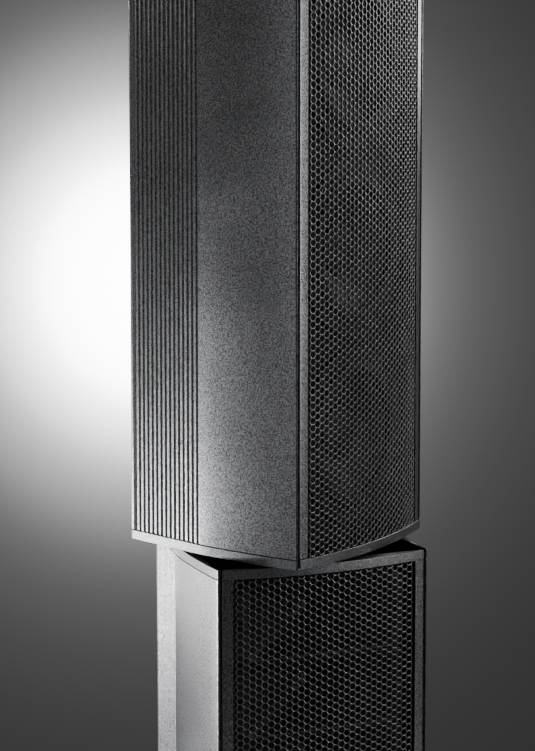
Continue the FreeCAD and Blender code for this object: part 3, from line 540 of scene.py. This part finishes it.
def horns():
    """Horns that flare from a round throat to a rounded oblong mouth in a flat flange."""
    work = bmesh.new()
    face = -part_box("hf_horns")[0].y
    for group in solids_of("hf_throat_plugs"):
        low = Vector(tuple(min(co[i] for co in group) for i in range(3)))
        high = Vector(tuple(max(co[i] for co in group) for i in range(3)))
        seat = Vector((0, 0, (low.z + high.z) / 2))
        plate = 3.5 * MM
        depth = face - 22 * MM
        rings = [(oval(*HORN_FLANGE, 30), face - plate), (oval(*HORN_FLANGE, 30), face - 0.4 * MM),
                 (oval(HORN_FLANGE[0] - 0.4 * MM, HORN_FLANGE[1] - 0.4 * MM, 30), face),
                 (oval(HORN_MOUTH[0] + 1.5 * MM, HORN_MOUTH[1] + 1.2 * MM, 14), face)]
        rings += flare_rings(HORN_MOUTH, THROAT, depth, face - 0.8 * MM, 0)
        rings.append((oval(THROAT), face - depth - 5 * MM))
        rings.append((oval(28 * MM), face - depth - 5 * MM))
        rings.append((oval(28 * MM), face - depth - 1.5 * MM))
        back = flare_rings(HORN_MOUTH, THROAT, depth - plate, face - plate, HORN_WALL)
        rings += back[-2:0:-1]
        loft(work, rings, seat, Vector((0, -1, 0)), closed=True)
    finished("hf_horns_flared", work, "hf_horns")


def throat_plugs():
    """Bullet-shaped plugs in the horns' throats."""
    work = bmesh.new()
    axis = Vector((0, -1, 0))
    for group in solids_of("hf_throat_plugs"):
        seat, length, radii, _ = along(group, axis)
        radius = max(radii)
        rings = [(oval(radius), 0)]
        for step in range(1, 13):
            share = step / 12
            rings.append((oval(max(radius * (1 - share ** 1.7), 0.3 * MM)), length * share))
        loft(work, rings, seat, axis)
    finished("hf_throat_plugs_turned", work, "hf_throat_plugs")


def terminal_block(module, rear):
    """Four screw terminals between dividing ribs."""
    node = f"{module}_terminal_block"
    corners = NODES[node].data.vertices
    side = rear.cross(Vector((0, 0, 1)))
    spans = [[co.co.dot(way) for co in corners] for way in (side, rear, Vector((0, 0, 1)))]
    low, high = ([pick(span) for span in spans] for pick in (min, max))
    centre = side * (low[0] + high[0]) / 2 + Vector((0, 0, (low[2] + high[2]) / 2)) + rear * low[1]
    half = (high[0] - low[0]) / 2
    tall = (high[2] - low[2]) / 2
    rise = high[1] - low[1]
    well = 3.6 * MM
    work = bmesh.new()
    pitch = 13 * MM
    for place in (-1.5, -0.5, 0.5, 1.5):
        rings = [(oval(pitch / 2, tall, 60), 0), (oval(pitch / 2, tall, 60), rise * 0.8),
                 (oval(pitch / 2 - 0.8 * MM, tall - 0.8 * MM, 40), rise * 0.87),
                 (oval(well + 0.6 * MM), rise * 0.87), (oval(well), rise * 0.82),
                 (oval(well), rise * 0.35)]
        loft(work, rings, centre + side * place * pitch, rear)
    for edge in (-2, -1, 0, 1, 2):
        wide = 0.9 * MM
        offset = max(-half + wide, min(half - wide, edge * pitch))
        rings = [(oval(wide, tall, 40), 0), (oval(wide, tall, 40), rise - 0.4 * MM),
                 (oval(wide - 0.3 * MM, tall - 0.4 * MM, 40), rise)]
        loft(work, rings, centre + side * offset, rear)
    finished(f"{node}_poles", work, node)


def add_drivers():
    cones()
    surrounds()
    horns()
    throat_plugs()
    terminal_block("lower", REAR)
    terminal_block("upper", -CONE_AXIS)
    rounded("woofer_frames", 0.4 * MM)


# Grilles

PITCH = 6.7 * MM
WEB = 0.8 * MM
COLUMN = PITCH * math.sqrt(3) / 2
SHEET = 1.5 * MM
GRILLE_FRONT = 95.2 * MM
GRILLE_RADIUS = 400 * MM
GRILLE_HALF = 91.5 * MM
BEND = 2.2 * MM
LEG = 3.0 * MM


def grille_line(across, depth):
    """x, y at a distance along the bent sheet from its middle, and a depth behind its face."""
    side = 1 if across >= 0 else -1
    reach = abs(across)
    radius = GRILLE_RADIUS
    bend_x = GRILLE_HALF - BEND
    turn = math.asin(bend_x / (radius - BEND))
    arc = radius * turn
    if reach <= arc:
        angle = reach / radius
        x = (radius - depth) * math.sin(angle)
        y = -GRILLE_FRONT + radius - (radius - depth) * math.cos(angle)
        return side * x, y
    centre = Vector((bend_x, -GRILLE_FRONT + radius - (radius - BEND) * math.cos(turn)))
    rounding = BEND * (math.pi / 2 - turn)
    if reach <= arc + rounding:
        angle = turn + (reach - arc) / BEND
        return (side * (centre.x + (BEND - depth) * math.sin(angle)),
                centre.y - (BEND - depth) * math.cos(angle))
    return side * (GRILLE_HALF - depth), centre.y + reach - arc - rounding


def grille_span():
    turn = math.asin((GRILLE_HALF - BEND) / (GRILLE_RADIUS - BEND))
    return GRILLE_RADIUS * turn + BEND * (math.pi / 2 - turn) + LEG


def hexagon(radius):
    return [
        (radius * math.cos(corner * math.pi / 3), radius * math.sin(corner * math.pi / 3))
        for corner in range(6)
    ]


def perforated_sheet(name, low, high, swivel):
    """A bent sheet of hexagonal holes between two heights, cut off at its rims."""
    outer = hexagon(PITCH / math.sqrt(3))
    inner = hexagon((PITCH - WEB) / math.sqrt(3))
    span = grille_span()
    columns = int(span // COLUMN)
    rows = int((high - low) / PITCH) + 2
    points = {}
    flat = []
    faces = []

    def corner(across, height, kind):
        key = (round(across * 1e6), round(height * 1e6), kind)
        if key not in points:
            points[key] = len(flat)
            flat.append((across, height, kind))
        return points[key]

    for column in range(-columns, columns + 1):
        for row in range(rows):
            across = column * COLUMN
            height = low + (row + 0.5 * (column % 2)) * PITCH
            rim = [corner(across + x, height + z, 0) for x, z in outer]
            hole = [corner(across + x, height + z, 0) for x, z in inner]
            rim_back = [corner(across + x, height + z, 1) for x, z in outer]
            hole_back = [corner(across + x, height + z, 1) for x, z in inner]
            for a in range(6):
                b = (a + 1) % 6
                faces.append((rim[a], rim[b], hole[b], hole[a]))
                faces.append((rim_back[b], rim_back[a], hole_back[a], hole_back[b]))
                faces.append((hole[a], hole[b], hole_back[b], hole_back[a]))
    turn = math.radians(swivel)
    cos, sin = math.cos(turn), math.sin(turn)
    verts = []
    for across, height, kind in flat:
        x, y = grille_line(max(-span, min(span, across)), SHEET * kind)
        verts.append((x * cos - y * sin, x * sin + y * cos, max(low, min(high, height))))
    mesh = bpy.data.meshes.new(name)
    mesh.from_pydata(verts, [], faces)
    work = bmesh.new()
    work.from_mesh(mesh)
    bmesh.ops.dissolve_degenerate(work, dist=1e-6, edges=work.edges)
    bmesh.ops.recalc_face_normals(work, faces=work.faces)
    for face in work.faces:
        face.smooth = True
    work.to_mesh(mesh)
    work.free()
    return mesh


def grilles():
    for module, swivel in (("lower", 0), ("upper", REST_SWIVEL)):
        node = f"{module}_grille"
        low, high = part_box(node)
        mesh = perforated_sheet(f"{node}_perforated", low.z, high.z, swivel)
        sheet = add_piece(f"{node}_perforated", mesh, node)
        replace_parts(sheet, node)


# Camera, lights and floor

FLOOR_RADIUS = 1.15


def stage():
    mesh = bpy.data.meshes.new("floor")
    work = bmesh.new()
    bmesh.ops.create_circle(work, cap_ends=True, radius=FLOOR_RADIUS, segments=96)
    work.to_mesh(mesh)
    work.free()
    floor = bpy.data.objects.new("floor", mesh)
    floor.location.z = -0.0005
    bpy.context.scene.collection.objects.link(floor)
    material = new_material("floor", (0.62, 0.62, 0.63), 0.6)
    vary(material, "Base Color", add_noise(material, 6, 2), (0.6, 0.6, 0.61), (0.64, 0.64, 0.65))
    mesh.materials.append(material)


EYE = Vector((-0.713, -1.655, 1.047))
HEADING = 22.62
PITCH_DOWN = 4.81
ROLL = 0.02
SHIFT = -0.15
LENS = 90.56


def camera():
    data = bpy.data.cameras.new("camera")
    data.sensor_width = 36
    data.lens = LENS
    data.shift_y = SHIFT
    eye = bpy.data.objects.new("camera", data)
    bpy.context.scene.collection.objects.link(eye)
    eye.location = EYE
    heading = math.radians(HEADING)
    pitch = math.radians(PITCH_DOWN)
    eye.rotation_euler = (math.pi / 2 - pitch, math.radians(ROLL), -heading)
    bpy.context.scene.camera = eye


def area_light(name, azimuth, distance, height, aim, size, radiance):
    """A soft box at a compass angle from +X, lit evenly; radiance is in W per square
    metre and steradian."""
    angle = math.radians(azimuth)
    place = Vector((distance * math.cos(angle), distance * math.sin(angle), height))
    data = bpy.data.lights.new(name, "AREA")
    data.shape = "RECTANGLE"
    data.size, data.size_y = size
    data.energy = radiance * size[0] * size[1] * math.pi
    lamp = bpy.data.objects.new(name, data)
    bpy.context.scene.collection.objects.link(lamp)
    lamp.location = place
    lamp.rotation_euler = (Vector((0, 0, aim)) - place).to_track_quat("-Z", "Y").to_euler()
    lamp.visible_camera = False


def lights():
    area_light("left_low", 150, 2.0, 0.13, 0.6, (0.7, 0.24), 120)
    area_light("left_behind", 122, 2.0, 0.2, 0.5, (0.8, 0.34), 8)
    area_light("left_front", 194, 2.2, 0.95, 0.8, (0.3, 1.5), 1.1)
    area_light("front_low", 212, 2.2, 0.2, 0.5, (0.7, 0.4), 2)
    area_light("left_high", 120, 2.2, 1.6, 1.0, (0.3, 0.8), 16)
    area_light("behind", 98, 2.2, 0.3, 0.5, (0.5, 0.6), 7)
    area_light("right_high", 8, 2.2, 1.9, 1.0, (0.7, 1.0), 18)
    area_light("right_edge", 24, 2.2, 1.35, 1.1, (0.4, 0.5), 12)
    area_light("front_right", 310, 2.6, 1.2, 0.8, (0.9, 1.6), 11)


GLOW_HEADING = 19.4
GLOW_DROP = 5.3
GLOW_PEAK = 15.4
GLOW_STOPS = (
    (0.0, 15.39), (2.2, 12.66), (4.2, 4.45), (5.3, 1.75), (6.2, 0.796), (7.2, 0.418),
    (8.2, 0.221), (9.1, 0.146), (10.7, 0.093), (12.4, 0.067), (14.7, 0.049), (20.0, 0.038),
    (70.0, 0.12), (130.0, 0.1), (180.0, 0.04),
)


def world():
    """A grey backdrop with a glow behind the object, paler away from the camera's view."""
    sky = bpy.data.worlds.new("world")
    sky.use_nodes = True
    tree = sky.node_tree
    heading = math.radians(GLOW_HEADING)
    drop = math.radians(GLOW_DROP)
    centre = Vector((math.sin(heading) * math.cos(drop), math.cos(heading) * math.cos(drop),
                     -math.sin(drop)))
    where = tree.nodes.new("ShaderNodeTexCoord")
    dot = tree.nodes.new("ShaderNodeVectorMath")
    dot.operation = "DOT_PRODUCT"
    dot.inputs[1].default_value = centre
    angle = tree.nodes.new("ShaderNodeMath")
    angle.operation = "ARCCOSINE"
    curve = tree.nodes.new("ShaderNodeFloatCurve")
    tree.links.new(where.outputs["Generated"], dot.inputs[0])
    tree.links.new(dot.outputs["Value"], angle.inputs[0])
    share = tree.nodes.new("ShaderNodeMath")
    share.operation = "DIVIDE"
    share.inputs[1].default_value = math.pi
    root = tree.nodes.new("ShaderNodeMath")
    root.operation = "SQRT"
    tree.links.new(angle.outputs["Value"], share.inputs[0])
    tree.links.new(share.outputs["Value"], root.inputs[0])
    tree.links.new(root.outputs["Value"], curve.inputs["Value"])
    line = curve.mapping.curves[0]
    while len(line.points) < len(GLOW_STOPS):
        line.points.new(0.5, 0.5)
    for point, (degrees, level) in zip(line.points, GLOW_STOPS):
        point.location = (math.sqrt(degrees / 180), level / GLOW_PEAK)
        point.handle_type = "AUTO_CLAMPED"
    curve.mapping.update()
    background = tree.nodes["Background"]
    tree.links.new(curve.outputs["Value"], background.inputs["Color"])
    background.inputs["Strength"].default_value = GLOW_PEAK
    bpy.context.scene.world = sky


camera()
finish_nodes()
round_off()
add_fasteners()
add_drivers()
grilles()
stage()
lights()
world()
